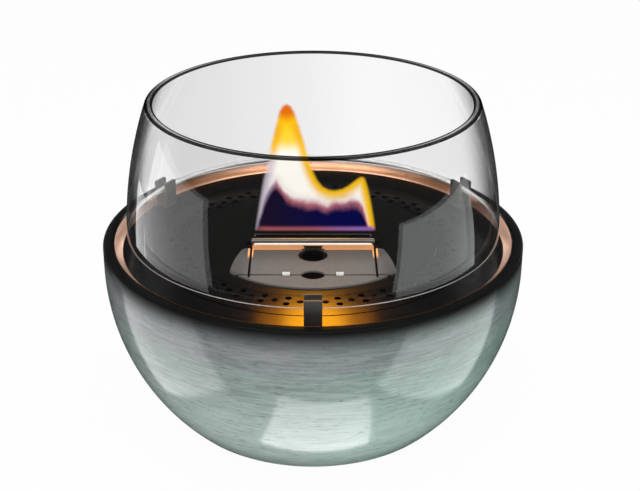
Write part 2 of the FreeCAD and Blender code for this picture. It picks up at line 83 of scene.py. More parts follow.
def turn(bm):
    """Spin the outline once round the upright axis and close it."""
    outline = bm.verts[:] + bm.edges[:]
    bmesh.ops.spin(bm, geom=outline, axis=(0, 0, 1), angle=math.tau, steps=TURN_STEPS, use_merge=True)
    bmesh.ops.remove_doubles(bm, verts=bm.verts, dist=MERGE_GAP * MM)
    bmesh.ops.recalc_face_normals(bm, faces=bm.faces)


def round_corner(bm, radius, z, size, segments=4):
    """Round the circular edge at a radius and height."""
    def on_corner(vert):
        off_radius, off_height = vert.co.xy.length - radius * MM, vert.co.z - z * MM
        return max(abs(off_radius), abs(off_height)) < CORNER_REACH * MM

    corner = [edge for edge in bm.edges if all(on_corner(vert) for vert in edge.verts)]
    bmesh.ops.bevel(
        bm, geom=corner, offset=size * MM, segments=segments, profile=0.5, affect="EDGES", material=-1,
    )


def new_object(name, bm, finish):
    """Make the mesh an object with its finish."""
    mesh = bpy.data.meshes.new(name)
    bm.to_mesh(mesh)
    bm.free()
    mesh.materials.append(finish)
    obj = bpy.data.objects.new(name, mesh)
    bpy.context.scene.collection.objects.link(obj)
    return obj


def piece(name, bm, finish, body, smooth_to=40):
    """Make the mesh a smooth piece of the fireplace, riding on a body."""
    obj = new_object(name, bm, finish)
    obj.data.shade_smooth()
    obj.data.set_sharp_from_angle(angle=math.radians(smooth_to))
    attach(obj, body)
    return obj


def fill(tree, node, sockets):
    """Link wires to a node's sockets, and set the other sockets to plain values."""
    for name, value in sockets.items():
        if isinstance(value, Wire):
            tree.links.new(value.socket, node.inputs[name])
        else:
            node.inputs[name].default_value = value


class Wire:
    """One socket of a finish: sums on wires add Math nodes, and node() adds any other node."""

    def __init__(self, tree, socket):
        self.tree = tree
        self.socket = socket

    def node(self, kind, settings=None, sockets=None, output=0):
        """Add a node, set it up, fill or link its sockets, and give one of its outputs."""
        made = self.tree.nodes.new(kind)
        for name, value in (settings or {}).items():
            setattr(made, name, value)
        fill(self.tree, made, sockets or {})
        return Wire(self.tree, made.outputs[output])

    def math(self, operation, *values):
        return self.node("ShaderNodeMath", {"operation": operation}, dict(enumerate(values)))

    def __add__(self, other):
        return self.math("ADD", self, other)

    def __radd__(self, other):
        return self.math("ADD", other, self)

    def __sub__(self, other):
        return self.math("SUBTRACT", self, other)

    def __rsub__(self, other):
        return self.math("SUBTRACT", other, self)

    def __mul__(self, other):
        return self.math("MULTIPLY", self, other)

    def __rmul__(self, other):
        return self.math("MULTIPLY", other, self)

    def __truediv__(self, other):
        return self.math("DIVIDE", self, other)

    def __pow__(self, other):
        return self.math("POWER", self, other)

    def __abs__(self):
        return self.math("ABSOLUTE", self)

    def larger(self, other):
        """The larger of two wires."""
        return self.math("MAXIMUM", self, other)

    def axis(self, number):
        """X, Y or Z of a place, in millimetres."""
        return self.node("ShaderNodeSeparateXYZ", None, {0: self}, number) / MM

    def scaled(self, factors):
        """A place or a colour, with a factor for each axis or channel."""
        return self.node("ShaderNodeVectorMath", {"operation": "MULTIPLY"}, {0: self, 1: factors})

    def radius(self):
        """Distance of a place from the upright axis, in millimetres."""
        flat = self.scaled((1.0, 1.0, 0.0))
        return self.node("ShaderNodeVectorMath", {"operation": "LENGTH"}, {0: flat}, "Value") / MM

    def rise(self, low, high):
        """0 below low, 1 above high, smooth between them; low may be the larger."""
        smoothed = {"interpolation_type": "SMOOTHSTEP"}
        return self.node("ShaderNodeMapRange", smoothed, {0: self, 1: low, 2: high})

    def blend(self, colour, other):
        """Colour where the wire is 0, other where it is 1; a Mix node has its colours at 6, 7 and 2."""
        first, second = ((*side, 1) if isinstance(side, tuple) else side for side in (colour, other))
        return self.node("ShaderNodeMix", {"data_type": "RGBA"}, {0: self, 6: first, 7: second}, 2)

    def between(self, shader, other):
        """Shader where the wire is 0, other where it is 1."""
        return self.node("ShaderNodeMixShader", None, {0: self, 1: shader, 2: other})

    def grain(self, cells, detail=2.0, roughness=0.5):
        """Noise from 0 to 1 at a place, with a number of cells per metre, or one for each axis."""
        per_axis = cells if isinstance(cells, tuple) else (cells, cells, cells)
        sockets = {"Vector": self.scaled(per_axis), "Scale": 1.0, "Detail": detail, "Roughness": roughness}
        return self.node("ShaderNodeTexNoise", None, sockets)

    def bump(self, height, strength):
        """Normal for a relief, where height is the depth in metres of the wire's 0 to 1."""
        return self.node("ShaderNodeBump", None, {"Strength": strength, "Distance": height, "Height": self})

    def ray(self, kind):
        """1 for rays of a kind, such as Is Camera Ray."""
        return self.node("ShaderNodeLightPath", None, None, kind)


def new_finish(name):
    """A new material, with the place on the piece as a wire."""
    finish = bpy.data.materials.new(name)
    finish.use_nodes = True
    tree = finish.node_tree
    return finish, Wire(tree, tree.nodes.new("ShaderNodeTexCoord").outputs["Object"])


def surface(finish, sockets):
    """Fill or link the sockets of the finish's main shader."""
    fill(finish.node_tree, finish.node_tree.nodes["Principled BSDF"], sockets)


rim_black = (0.006, 0.0065, 0.006)
celadon_dark, celadon_pale = (0.235, 0.293, 0.276), (0.37, 0.455, 0.43)
bounce_lit_dark, bounce_lit_pale = (0.465, 0.575, 0.54), (0.63, 0.765, 0.72)
upper_dark, upper_pale = (0.205, 0.226, 0.228), (0.315, 0.345, 0.348)
speck_dark, rim_highlight_white = (0.085, 0.098, 0.098), (0.85, 0.85, 0.83)
green_tint, green_side_x = (0.93, 1.06, 1.01), (-17.5, 70.0)
brush_lines, brush_bands = (85, 85, 1050), (9, 9, 150)
glaze_clouds, glaze_specks = (18, 18, 30), (260, 260, 950)
line_share, band_share, cloud_share, thinned = 0.85, 0.35, 0.3, 0.25
thick_range, speck_range, speck_strength = (0.34, 0.66), (0.56, 0.74), 0.4
fade_z, celadon_z, bounce_lit_z, brush_waver = (81.3, 68.8), (66.5, 58.0), (60.0, 12.0), 2.4
rim_highlight_radius, rim_highlight_z, rim_highlight_y = (86.3, 85.9), (80.4, 80.6), (10.0, 50.0)
brush_relief, brush_relief_share = 0.05, 0.3

glaze, place = new_finish("celadon_glaze")
line = place.grain(brush_lines, detail=5.0, roughness=0.68)
speck = place.grain(glaze_specks).rise(*speck_range)
band = place.grain(brush_bands, detail=3.0)
cloud = place.grain(glaze_clouds)
height = place.axis(2)
brushed_height = height + ((band - 0.5) + (line - 0.5)) * brush_waver
fade = brushed_height.rise(*fade_z)
celadon = brushed_height.rise(*celadon_z)
# Painted light: the glaze turns paler towards the base, as light bounced up from the floor.
bounce_lit = height.rise(*bounce_lit_z)
thick = (line * line_share + band * band_share + cloud * cloud_share - thinned).rise(*thick_range)
upper_colour = celadon.blend(thick.blend(upper_dark, upper_pale), thick.blend(celadon_dark, celadon_pale))
body_colour = bounce_lit.blend(upper_colour, thick.blend(bounce_lit_dark, bounce_lit_pale))
specked = (speck * speck_strength).blend(body_colour, speck_dark)
greened = place.axis(0).rise(*green_side_x).blend(specked, specked.scaled(green_tint))
# Painted highlight: a pale line on the rim's inner edge, at the back only.
rim_highlight = place.radius().rise(*rim_highlight_radius) * height.rise(*rim_highlight_z) * place.axis(1).rise(*rim_highlight_y)
surface(glaze, {
    "Base Color": rim_highlight.blend(fade.blend(rim_black, greened), rim_highlight_white),
    "Roughness": 0.3 + line * 0.1,
    "Specular IOR Level": 0.012,
    "Coat Weight": 0.008 + fade * 0.992,
    "Coat Roughness": 0.13,
    "Coat IOR": 1.6,
    "Normal": line.bump(brush_relief * MM, brush_relief_share),
})

bm = bmesh.new()
flank_centre = (bowl_radius - bowl_flank_arc, bowl_band_z)
outer_turn = math.degrees(math.asin((bowl_band_z - bowl_base_z) / bowl_flank_arc))
inner_turn = math.degrees(math.asin((bowl_band_z - bowl_floor_z) / (bowl_flank_arc - bowl_wall)))
band_foot = point(bm, bowl_radius, bowl_band_z)
base_edge = sweep(bm, band_foot, flank_centre, outer_turn, flank_steps)
join(bm, base_edge, point(bm, 0, bowl_base_z))
rim_edge = point(bm, bowl_radius, bowl_rim_z)
rebate_top = point(bm, ring_rebate_radius, bowl_rim_z)
rebate_foot = point(bm, ring_rebate_radius, ring_seat_z)
seat_edge = point(bm, bowl_radius - bowl_wall, ring_seat_z)
bore_foot = point(bm, bowl_radius - bowl_wall, bowl_band_z)
join(bm, band_foot, rim_edge, rebate_top, rebate_foot, seat_edge, bore_foot)
floor_edge = sweep(bm, bore_foot, flank_centre, inner_turn, inside_steps)
join(bm, floor_edge, point(bm, 0, bowl_floor_z))
base_radius = base_edge.co.x / MM
turn(bm)
round_corner(bm, bowl_radius, bowl_rim_z, bowl_rim_round)
round_corner(bm, ring_rebate_radius, bowl_rim_z, bowl_rim_round)
round_corner(bm, base_radius, bowl_base_z, bowl_base_round)
bowl = piece("glazed_bowl", bm, glaze, "bowl")
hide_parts("bowl")

# Foot pads
# Four round pads of dark rubber, glued into pockets in the base.
pad_black, pad_grey, pad_speckles = (0.012, 0.012, 0.012), (0.03, 0.03, 0.03), 900


def dress(finish, *nodes):
    """Give CAD pieces their finish."""
    for node in nodes:
        for material_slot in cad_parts[node].material_slots:
            material_slot.material = finish


rubber, place = new_finish("pad_rubber")
speckle = place.grain(pad_speckles, detail=3.0)
surface(rubber, {"Base Color": speckle.blend(pad_black, pad_grey), "Roughness": 0.75 + speckle * 0.15})
dress(rubber, "foot_pads")

# Gaskets
# Flat rings cut from grey graphite sheet, one under the trim ring and one on the can.
gasket_dark, gasket_light, gasket_flakes = (0.03, 0.03, 0.032), (0.07, 0.07, 0.072), 700

graphite, place = new_finish("gasket_graphite")
flake = place.grain(gasket_flakes, detail=4.0)
surface(graphite, {"Base Color": flake.blend(gasket_dark, gasket_light), "Roughness": 0.6 + flake * 0.2})
dress(graphite, "ring_gasket", "can_gasket")

# Trim ring
# Turned from brass, copper plated and polished on its sloping face.
# It lies in the bowl's rebate, and its ledge carries the top plate.
ring_radius, ring_bore, ring_ledge_bore = 85.15, 81.85, 74.5
plate_top_z, plate_bottom_z, ring_bottom_z = 77.5, 76.3, 74.9
ring_edge_round, ring_edge_segments = 0.25, 3
copper_lit, copper_half_shaded, copper_shaded = (0.97, 0.55, 0.36), (0.66, 0.33, 0.175), (0.32, 0.205, 0.155)
copper_side_lit, copper_shade = (0.98, 0.62, 0.45), (0.26, 0.13, 0.06)
copper_tarnish, tarnish_waver = 60, 2.0
half_shade_rise, shade_rise, side_lit_y, front_shade_y = (0.2, 0.9), (1.6, 3.6), (20.0, 60.0), (-35.0, -65.0)

copper, place = new_finish("polished_copper")
tarnish = place.grain(copper_tarnish, detail=4.0)
# Painted light and shade: the back slope is lit low down and shaded higher up, the sides are painted light
# and the front is painted shade.
up_slope = place.axis(2) - plate_top_z + (tarnish - 0.5) * tarnish_waver
low_lit_copper = up_slope.rise(*half_shade_rise).blend(copper_lit, copper_half_shaded)
slope_shaded_copper = up_slope.rise(*shade_rise).blend(low_lit_copper, copper_shaded)
side_lit_copper = place.axis(1).rise(*side_lit_y).blend(copper_side_lit, slope_shaded_copper)
surface(copper, {
    "Base Color": place.axis(1).rise(*front_shade_y).blend(side_lit_copper, copper_shade),
    "Metallic": 0.9,
    "Roughness": 0.24 + tarnish * 0.12,
})

bm = bmesh.new()
section = [
    point(bm, ring_radius, ring_bottom_z), point(bm, ring_radius, bowl_rim_z),
    point(bm, ring_bore, plate_top_z), point(bm, ring_bore, plate_bottom_z),
    point(bm, ring_ledge_bore, plate_bottom_z), point(bm, ring_ledge_bore, ring_bottom_z),
]
join(bm, *section, section[0])
turn(bm)
round_corner(bm, ring_radius, bowl_rim_z, ring_edge_round, ring_edge_segments)
trim_ring = piece("copper_trim_ring", bm, copper, "bowl")
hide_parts("trim_ring")

# Studs, nuts and rivets
# Zinc-plated steel fixings under the plate: studs and nuts hold it to the ring, and rivets hold the clips.
zinc_light, zinc_dark, zinc_spangles = (0.62, 0.62, 0.60), (0.42, 0.42, 0.41), 500

zinc, place = new_finish("zinc_plate")
spangle = place.grain(zinc_spangles, detail=3.0)
surface(zinc, {
    "Base Color": spangle.blend(zinc_dark, zinc_light),
    "Metallic": 1.0,
    "Roughness": 0.3 + spangle * 0.15,
})
dress(zinc, "plate_studs", "plate_nuts", "clip_rivets")

# Top plate
# Pressed steel in gloss black enamel, with a groove and three rows of air holes; it lies on the ring's ledge.
enamel_black, enamel_worn, enamel_waves = (0.004, 0.0038, 0.0038), (0.008, 0.0075, 0.0075), 70

enamel, place = new_finish("black_enamel")
orange_peel = place.grain(enamel_waves)
surface(enamel, {
    "Base Color": orange_peel.blend(enamel_black, enamel_worn),
    "Roughness": 0.2 + orange_peel * 0.03,
    "Specular IOR Level": 0.5,
})
dress(enamel, "top_plate")

# Clips
# Three bent strips of black-oxide steel, riveted to the plate; their tabs hold the foot of the glass.
oxide_black, oxide_grey, tab_top_grey = (0.010, 0.010, 0.011), (0.022, 0.022, 0.024), (0.072, 0.068, 0.064)
tab_z, oxide_mottles = (82.0, 89.6), 300

oxide, place = new_finish("clip_oxide")
mottle = place.grain(oxide_mottles, detail=3.0)
surface(oxide, {
    # The tabs turn a lighter grey towards their top.
    "Base Color": place.axis(2).rise(*tab_z).blend(mottle.blend(oxide_black, oxide_grey), tab_top_grey),
    "Roughness": 0.38 + mottle * 0.12,
    "Specular IOR Level": 0.4,
})
dress(oxide, "clip_front", "clip_left", "clip_right")

# Glass seats
# Small blocks of dark heat-proof fibre in the clips, under the edge of the glass.
seat_dark, seat_light, seat_flecks = (0.014, 0.013, 0.013), (0.03, 0.028, 0.027), 800

seat_fibre, place = new_finish("seat_fibre")
fleck = place.grain(seat_flecks, detail=3.0)
surface(seat_fibre, {"Base Color": fleck.blend(seat_dark, seat_light), "Roughness": 0.7 + fleck * 0.2})
dress(seat_fibre, "glass_seats")

# Burner head
# Pressed steel disc in satin black enamel, which drops into the plate's opening and carries the burner.
# The snuffer's rails are folded from the same sheet; under the finger hole the enamel is dull with soot.
head_black, head_grey, head_soot = (0.0045, 0.0045, 0.0042), (0.008, 0.008, 0.0076), (0.002, 0.0015, 0.0012)
head_ripples, soot_patch_y, soot_patch_half = 160, -35.8, (8.0, 7.0)

head_enamel, place = new_finish("head_enamel")
satin = place.grain(head_ripples)
off_patch_x, off_patch_y = abs(place.axis(0)), abs(place.axis(1) - soot_patch_y)
patch = off_patch_x.rise(*soot_patch_half) * off_patch_y.rise(*soot_patch_half)
surface(head_enamel, {
    "Base Color": patch.blend(satin.blend(head_black, head_grey), head_soot),
    "Metallic": patch,
    "Roughness": 0.26 + satin * 0.06 + patch * 0.65,
    "Specular IOR Level": 0.35,
})
dress(head_enamel, "burner_head", "snuffer_rails")

# Fuel can and wick holder
# Drawn and folded from stainless sheet, left with its mill finish, spot welded under the head.
sheet_light, sheet_dark, sheet_lines = (0.60, 0.57, 0.53), (0.44, 0.42, 0.40), (40, 40, 900)

can_steel, place = new_finish("can_steel")
draw_marks = place.grain(sheet_lines, detail=4.0)
surface(can_steel, {
    "Base Color": draw_marks.blend(sheet_dark, sheet_light),
    "Metallic": 1.0,
    "Roughness": 0.32 + draw_marks * 0.15,
})
dress(can_steel, "fuel_can", "wick_holder")

# Filler neck and strainer
# A welded sleeve under the flap's hole, with a loose perforated cup in it, both black: partly from soot and
# fuel, partly painted shade deep in the hole.
soot_and_shade_black, soot_and_shade_brown, soot_crumbs = (0.004, 0.004, 0.004), (0.010, 0.009, 0.008), 500

sooty_shaded_steel, place = new_finish("sooty_shaded_steel")
soot = place.grain(soot_crumbs, detail=4.0)
surface(sooty_shaded_steel, {
    "Base Color": soot.blend(soot_and_shade_black, soot_and_shade_brown),
    "Metallic": 1.0,
    "Roughness": 0.65 + soot * 0.2,
})
dress(sooty_shaded_steel, "filler_neck", "filler_strainer")

# Fibre core and wick
# Pressed ceramic fibre: a block that soaks up the fuel, and the board in the slot, charred at its top.
fibre_white, fibre_grey, fibre_char = (0.42, 0.38, 0.33), (0.20, 0.17, 0.14), (0.0035, 0.003, 0.003)
fibre_strands, char_z = (700, 700, 260), (70.0, 75.5)

fibre, place = new_finish("ceramic_fibre")
felt = place.grain(fibre_strands, detail=5.0, roughness=0.65)
charred = place.axis(2).rise(*char_z)
surface(fibre, {
    "Base Color": charred.blend(felt.blend(fibre_grey, fibre_white), fibre_char),
    "Metallic": charred,
    "Roughness": 0.9 + felt * 0.08,
})
dress(fibre, "fibre_core", "wick")

# Leaves, refill flap and hinge pins
# Cut from satin stainless sheet: a fixed leaf with two ears, and the flap that turns up on two small hinges.
# The flame's light is painted on: gold and a glow on the flap's upturned lip, a white highlight on its top
# edge, and gold glints and a glow at the side gaps; the lip's window is painted shadow.
steel_light, steel_dark, steel_shade = (0.265, 0.254, 0.240), (0.195, 0.187, 0.177), (0.055, 0.055, 0.050)
flame_lit_gold, lip_highlight_white, gap_shadow = (0.86, 0.46, 0.20), (1.0, 0.90, 0.80), (0.016, 0.013, 0.011)
lip_painted_glow, lip_edge_painted_glow, gap_painted_glow = (0.24, 0.085, 0.03), (0.22, 0.28, 0.28), (0.45, 0.19, 0.05)
knuckle_highlight, no_glow = (0.95, 0.93, 0.90), (0.0, 0.0, 0.0)
steel_brushing, steel_specks, brushing_share, specks_share = (900, 60, 400), 420, 0.6, 0.4
lip_y, lip_x, lip_edge_z = (-11.65, -11.5), (26.3, 26.1), (80.35, 80.6)
window_x, window_z = (4.9, 4.8), (78.8, 78.6)
gap_inner_x, gap_outer_x, glint_y = (25.1, 25.4), (27.7, 27.4), (-21.0, -16.0)
seam_y, seam_half = -35.8, (0.44, 0.34)
knuckle_x, knuckle_half, knuckle_z = 11.0, (1.6, 1.5), (78.32, 78.4)
knuckle_front, knuckle_rear = (-1.6, -1.4), (0.5, 0.3)
lip_shade_y, lip_shade_share, ear_shade_x, ear_shade_share = (-29.8, -11.4), 0.6, (21.8, 34.3), 0.5

steel, place = new_finish("satin_steel")
brush = place.grain(steel_brushing, detail=4.0)
sparkle = place.grain(steel_specks, detail=1.0)
side, depth, above = abs(place.axis(0)), place.axis(1), place.axis(2)
behind_seam = depth - seam_y
on_lip = depth.rise(*lip_y) * side.rise(*lip_x)
lip_edge = above.rise(*lip_edge_z)
in_window = side.rise(*window_x) * above.rise(*window_z)
# Painted highlights: gold glints and a glow at the side gaps, as flame light.
glint = side.rise(*gap_inner_x) * side.rise(*gap_outer_x) * depth.rise(*glint_y)
on_seam = abs(behind_seam).rise(*seam_half)
# Painted highlight: white marks on the two hinge knuckles.
on_knuckle_highlight = abs(side - knuckle_x).rise(*knuckle_half) * above.rise(*knuckle_z)
on_knuckle_highlight = on_knuckle_highlight * behind_seam.rise(*knuckle_front) * behind_seam.rise(*knuckle_rear)
# Painted shade: the sheet darkens towards the lip and towards the ears.
painted_shade = (depth.rise(*lip_shade_y) * lip_shade_share).larger(side.rise(*ear_shade_x) * ear_shade_share)
satin_colour = (brush * brushing_share + sparkle * specks_share).blend(steel_dark, steel_light)
seamed = (on_seam * (1 - on_knuckle_highlight)).blend(painted_shade.blend(satin_colour, steel_shade), gap_shadow)
# Painted light: gold flame light and a glow on the lip, a white painted highlight on its top edge and painted
# shadow in its window.
lip_lit_colour = lip_edge.blend(in_window.blend(flame_lit_gold, gap_shadow), lip_highlight_white)
lipped = on_lip.blend(glint.blend(seamed, flame_lit_gold), lip_lit_colour)
lip_light = lip_edge.blend(in_window.blend(lip_painted_glow, gap_shadow), lip_edge_painted_glow)
surface(steel, {
    "Base Color": on_knuckle_highlight.blend(lipped, knuckle_highlight),
    "Metallic": 0.02,
    "Roughness": 0.46 + brush * 0.12,
    "Specular IOR Level": 0.05,
    "Emission Color": on_lip.blend(glint.blend(no_glow, gap_painted_glow), lip_light),
    "Emission Strength": 1.0,
})
dress(steel, "front_leaf", "side_leaf_left", "side_leaf_right", "refill_flap", "hinge_pins")

# Snuffer
# Stainless blade with a folded front edge, which slides over the slot in its two rails.
blade_light, blade_dark = (0.26, 0.235, 0.21), (0.17, 0.152, 0.135)
blade_flame_highlight, blade_soot, blade_rubs = (0.95, 0.62, 0.26), (0.003, 0.003, 0.003), (60, 900, 400)
flame_highlight_y, flame_highlight_x, flame_highlight_at_ends, sooty_y = (-1.9, -1.5), (24.0, 9.0), 0.25, (-0.65, -0.45)

blade_steel, place = new_finish("blade_steel")
rub = place.grain(blade_rubs, detail=4.0)
depth = place.axis(1)
# Painted highlight: amber flame light on the blade's top face, strongest in the middle.
flame_highlight = depth.rise(*flame_highlight_y) * (flame_highlight_at_ends + abs(place.axis(0)).rise(*flame_highlight_x) * (1 - flame_highlight_at_ends))
sooty = depth.rise(*sooty_y)
surface(blade_steel, {
    "Base Color": sooty.blend(flame_highlight.blend(rub.blend(blade_dark, blade_light), blade_flame_highlight), blade_soot),
    "Metallic": 0.15 + sooty * 0.85,
    "Roughness": 0.4 + rub * 0.14 + sooty * 0.4,
})
dress(blade_steel, "snuffer")

# Flame
# Burning vapour over the wick, thin at its outline and fuller inside: a tall tongue on the left, a low one on
# the right. It is hot and white in the middle, dark blue over the wick, and yellow to orange at its edges.
flame_columns, flame_rows, half_grid = 180, 110, 0.5
flame_foot_z, flame_y, flame_thickness = 79.3, 4.5, 0.4
flame_left, flame_right = -26.0, 27.9
flame_belly, belly_edge, belly_foot, belly_drop = 4.0, 7.0, 14.0, 0.45
flame_top = [
    (-26.0, 0.0), (-24.8, 8.0), (-23.5, 16.0), (-22.0, 24.5), (-20.0, 33.0), (-18.2, 42.0), (-16.0, 51.0),
    (-14.7, 56.0), (-13.0, 58.6), (-11.0, 59.4), (-8.9, 58.4), (-7.2, 55.6), (-5.2, 49.5), (-3.0, 42.0),
    (-0.9, 33.0), (0.8, 28.2), (2.4, 24.6), (4.6, 21.8), (7.0, 20.5), (9.2, 20.2), (12.2, 20.8),
    (15.0, 22.5), (17.6, 24.7), (19.6, 26.2), (21.4, 26.6), (22.8, 25.4), (24.2, 21.0), (25.6, 14.5),
    (26.8, 7.5), (27.9, 0.0),
]
core_top = [
    (-24.6, 0.0), (-22.6, 8.0), (-21.0, 13.2), (-19.0, 17.4), (-17.0, 20.8), (-15.6, 22.0), (-13.9, 19.6),
    (-11.8, 16.4), (-8.6, 14.0), (-5.7, 12.8), (-0.4, 12.4), (2.2, 11.8), (4.2, 11.0), (6.0, 10.8),
    (7.6, 11.2), (9.8, 12.0), (13.0, 12.4), (17.0, 12.8), (19.4, 12.2), (21.2, 10.6), (22.6, 7.0),
    (23.6, 2.5), (24.2, 0.0),
]


def curve_at(curve, x):
    """Height of a curve at x, straight from point to point."""
    for (x0, z0), (x1, z1) in zip(curve, curve[1:]):
        if x <= x1:
            return z0 + (z1 - z0) * max(x - x0, 0) / (x1 - x0)
    return curve[-1][1]


def within(share):
    """A share, held between 0 and 1."""
    return min(max(share, 0), 1)


def smooth(share):
    """0 to 1 with soft ends."""
    share = within(share)
    return share * share * (3 - 2 * share)


def wall_distance(x, z, start, end):
    """Distance from a place to a straight piece of an outline."""
    run, climb = end[0] - start[0], end[1] - start[1]
    share = within(((x - start[0]) * run + (z - start[1]) * climb) / (run * run + climb * climb))
    return math.hypot(x - start[0] - share * run, z - start[1] - share * climb)


def edge_depth(x, z):
    """Distance from a place in the flame to its outline."""
    return min(wall_distance(x, z, *wall) for wall in zip(flame_top, flame_top[1:]))


bm = bmesh.new()
bmesh.ops.create_grid(bm, x_segments=flame_columns, y_segments=flame_rows, size=half_grid)
rim_layer = bm.verts.layers.float.new("edge_depth")
core_layer = bm.verts.layers.float.new("core_depth")
for vert in bm.verts:
    x = flame_left + (vert.co.x + half_grid) * (flame_right - flame_left)
    z = (vert.co.y + half_grid) * curve_at(flame_top, x)
    vert[rim_layer] = edge_depth(x, z)
    vert[core_layer] = curve_at(core_top, x) - z
    vert.co = (x * MM, flame_y * MM, (flame_foot_z + z) * MM)
bmesh.ops.remove_doubles(bm, verts=bm.verts, dist=MERGE_GAP * MM)
bmesh.ops.solidify(bm, geom=bm.faces[:], thickness=flame_thickness * MM)
bmesh.ops.translate(bm, verts=bm.verts, vec=(0, -flame_thickness / 2 * MM, 0))
for vert in bm.verts:
    over_foot = smooth((vert.co.z / MM - flame_foot_z) / belly_foot)
    belly = flame_belly * smooth(vert[rim_layer] / belly_edge) * over_foot
    vert.co.y += math.copysign(belly * MM, vert.co.y - flame_y * MM)
    vert[core_layer] += belly * belly_drop
bmesh.ops.recalc_face_normals(bm, faces=bm.faces)

tip_gold, tip_orange = (0.93, 0.53, 0.004), (0.70, 0.14, 0.004)
edge_gold, edge_amber = (0.92, 0.52, 0.008), (0.82, 0.42, 0.012)
hot_white, hot_yellow, lilac_edge = (1.0, 0.975, 0.90), (0.94, 0.62, 0.03), (0.72, 0.64, 0.72)
blush_rose, blush_lilac = (0.55, 0.17, 0.22), (0.42, 0.36, 0.50)
core_violet, core_blue = (0.008, 0.004, 0.020), (0.0012, 0.0016, 0.055)
foot_rose, foot_violet = (0.33, 0.085, 0.10), (0.27, 0.12, 0.42)
orange_up, amber_up, edge_tip_up, hot_tip_up, yellow_up = (50, 56), (36, 46), (48, 54), (46, 52), (36.5, 44)
flame_lean, lilac_side, lilac_up, rose_side = 0.17, (-14.0, -21.0), (40, 32), (-18.0, -23.0)
hot_depth, blush_depth, dark_depth = (1.9, 5.6), (-3.8, -0.3), (-2.2, 3.2)
core_tatters, tatter_size, core_side = (140, 140, 110), 5.0, (-22, 12)
foot_up, foot_side, foot_depth = (3.6, 1.6), (-4, 22), (0.6, 2.6)
faint_depth, faintness = (6.0, 1.0), 0.5
solid_depth, solid_up, solid_share = (0.0, 2.2), (0.2, 1.6), 0.85
tip_solid_up, tip_solid_share = (38, 48), 0.1

burning, place = new_finish("burning_vapour")
into_flame = place.node("ShaderNodeAttribute", {"attribute_name": "edge_depth"}, None, "Fac")
into_core = place.node("ShaderNodeAttribute", {"attribute_name": "core_depth"}, None, "Fac")
up, across = place.axis(2) - flame_foot_z, place.axis(0)
leaning = across - up * flame_lean
tip_colour = up.rise(*orange_up).blend(tip_gold, tip_orange)
edge_colour = up.rise(*edge_tip_up).blend(up.rise(*amber_up).blend(edge_gold, edge_amber), tip_colour)
pale_side = leaning.rise(*lilac_side) * up.rise(*lilac_up)
rim_colour = pale_side.blend(edge_colour, lilac_edge)
hot_colour = up.rise(*hot_tip_up).blend(up.rise(*yellow_up).blend(hot_white, hot_yellow), tip_colour)
shell = into_flame.rise(*hot_depth).blend(rim_colour, hot_colour)
into_core = into_core + (place.grain(core_tatters, detail=3.0) - 0.5) * tatter_size
blush_colour = leaning.rise(*rose_side).blend(blush_rose, blush_lilac)
core_colour = across.rise(*core_side).blend(core_violet, core_blue)
blushing = into_core.rise(*blush_depth).blend(shell, blush_colour)
cored = into_core.rise(*dark_depth).blend(blushing, core_colour)
foot_colour = across.rise(*foot_side).blend(foot_rose, foot_violet)
thin_side = 1 - pale_side * into_flame.rise(*faint_depth) * faintness
solid_at_height = solid_share + up.rise(*tip_solid_up) * tip_solid_share
solid = into_flame.rise(*solid_depth) * up.rise(*solid_up) * solid_at_height
surface(burning, {
    "Base Color": (0.0, 0.0, 0.0, 1.0),
    "Roughness": 1.0,
    "Specular IOR Level": 0.0,
    "Emission Color": (up.rise(*foot_up) * into_flame.rise(*foot_depth)).blend(cored, foot_colour),
    "Emission Strength": 1.12,
    "Alpha": solid * thin_side,
})
flame = piece("flame", bm, burning, "burner", smooth_to=180)
flame.visible_glossy = False
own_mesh(flame)

# Glass chimney
# Blown borosilicate, cut off at both ends and fire-rounded; it stands loose on the clips.
# Painted shade darkens its sides where the eye meets them at a slant, its rim line and a grey patch at the
# back;
# painted light clears a band in front and a patch at the back, and a painted highlight makes its foot a pale
# line.
glass_foot_radius, glass_top_radius, glass_foot_z, glass_top_z = 79.7, 69.3, 85.2, 142.0
glass_side_arc, glass_wall, glass_edge_round, glass_steps = 183.0, 3.3, 1.1, 32
mirror_white, clear_grey, clear_white, painted_shade_grey, painted_foot_grey = 0.96, 0.955, 1.0, 0.01, 0.9
glass_reflectance, outer_grazing, inner_grazing, grazing_power = 0.03, 1.5, 0.15, 5
side_darkness, glass_ripples = 0.8, 30
slant_clear, slant_dark, right_x, softer_right, right_dark_share = 0.60, 0.80, (-20.0, 20.0), 0.13, 0.7
rim_z, rim_line_darkness, rim_middle_half, rim_middle_light = (141.1, 141.3), 0.97, (0.8, 0.4), 0.5
foot_line_z, foot_line_radius = (86.1, 85.9), (78.7, 78.9)
foot_face_z, foot_face_y, foot_face_share = (86.5, 86.3), (20.0, 50.0), 0.95
pale_slant, pale_y, pale_right_loss = (0.3, 0.48), (10.0, -10.0), 7
rear_y, clear_rear_x = (0.0, 20.0), (-10.0, 30.0)
grey_right_x, grey_left_x, rear_shade_share = (10.0, -60.0), (-74.0, -62.0), 0.05
mirror_below_z, mirror_above_z = (141.4, 140.4), (86.4, 87.2)


def grey(value):
    """An even grey for a shader's colour."""
    return (value, value, value, 1.0)


def main_shader(finish):
    """The finish's main shader, as a wire."""
    return Wire(finish.node_tree, finish.node_tree.nodes["Principled BSDF"].outputs[0])


def show(finish, shader):
    """Let a shader make the finish's surface."""
    fill(finish.node_tree, finish.node_tree.nodes["Material Output"], {"Surface": shader})


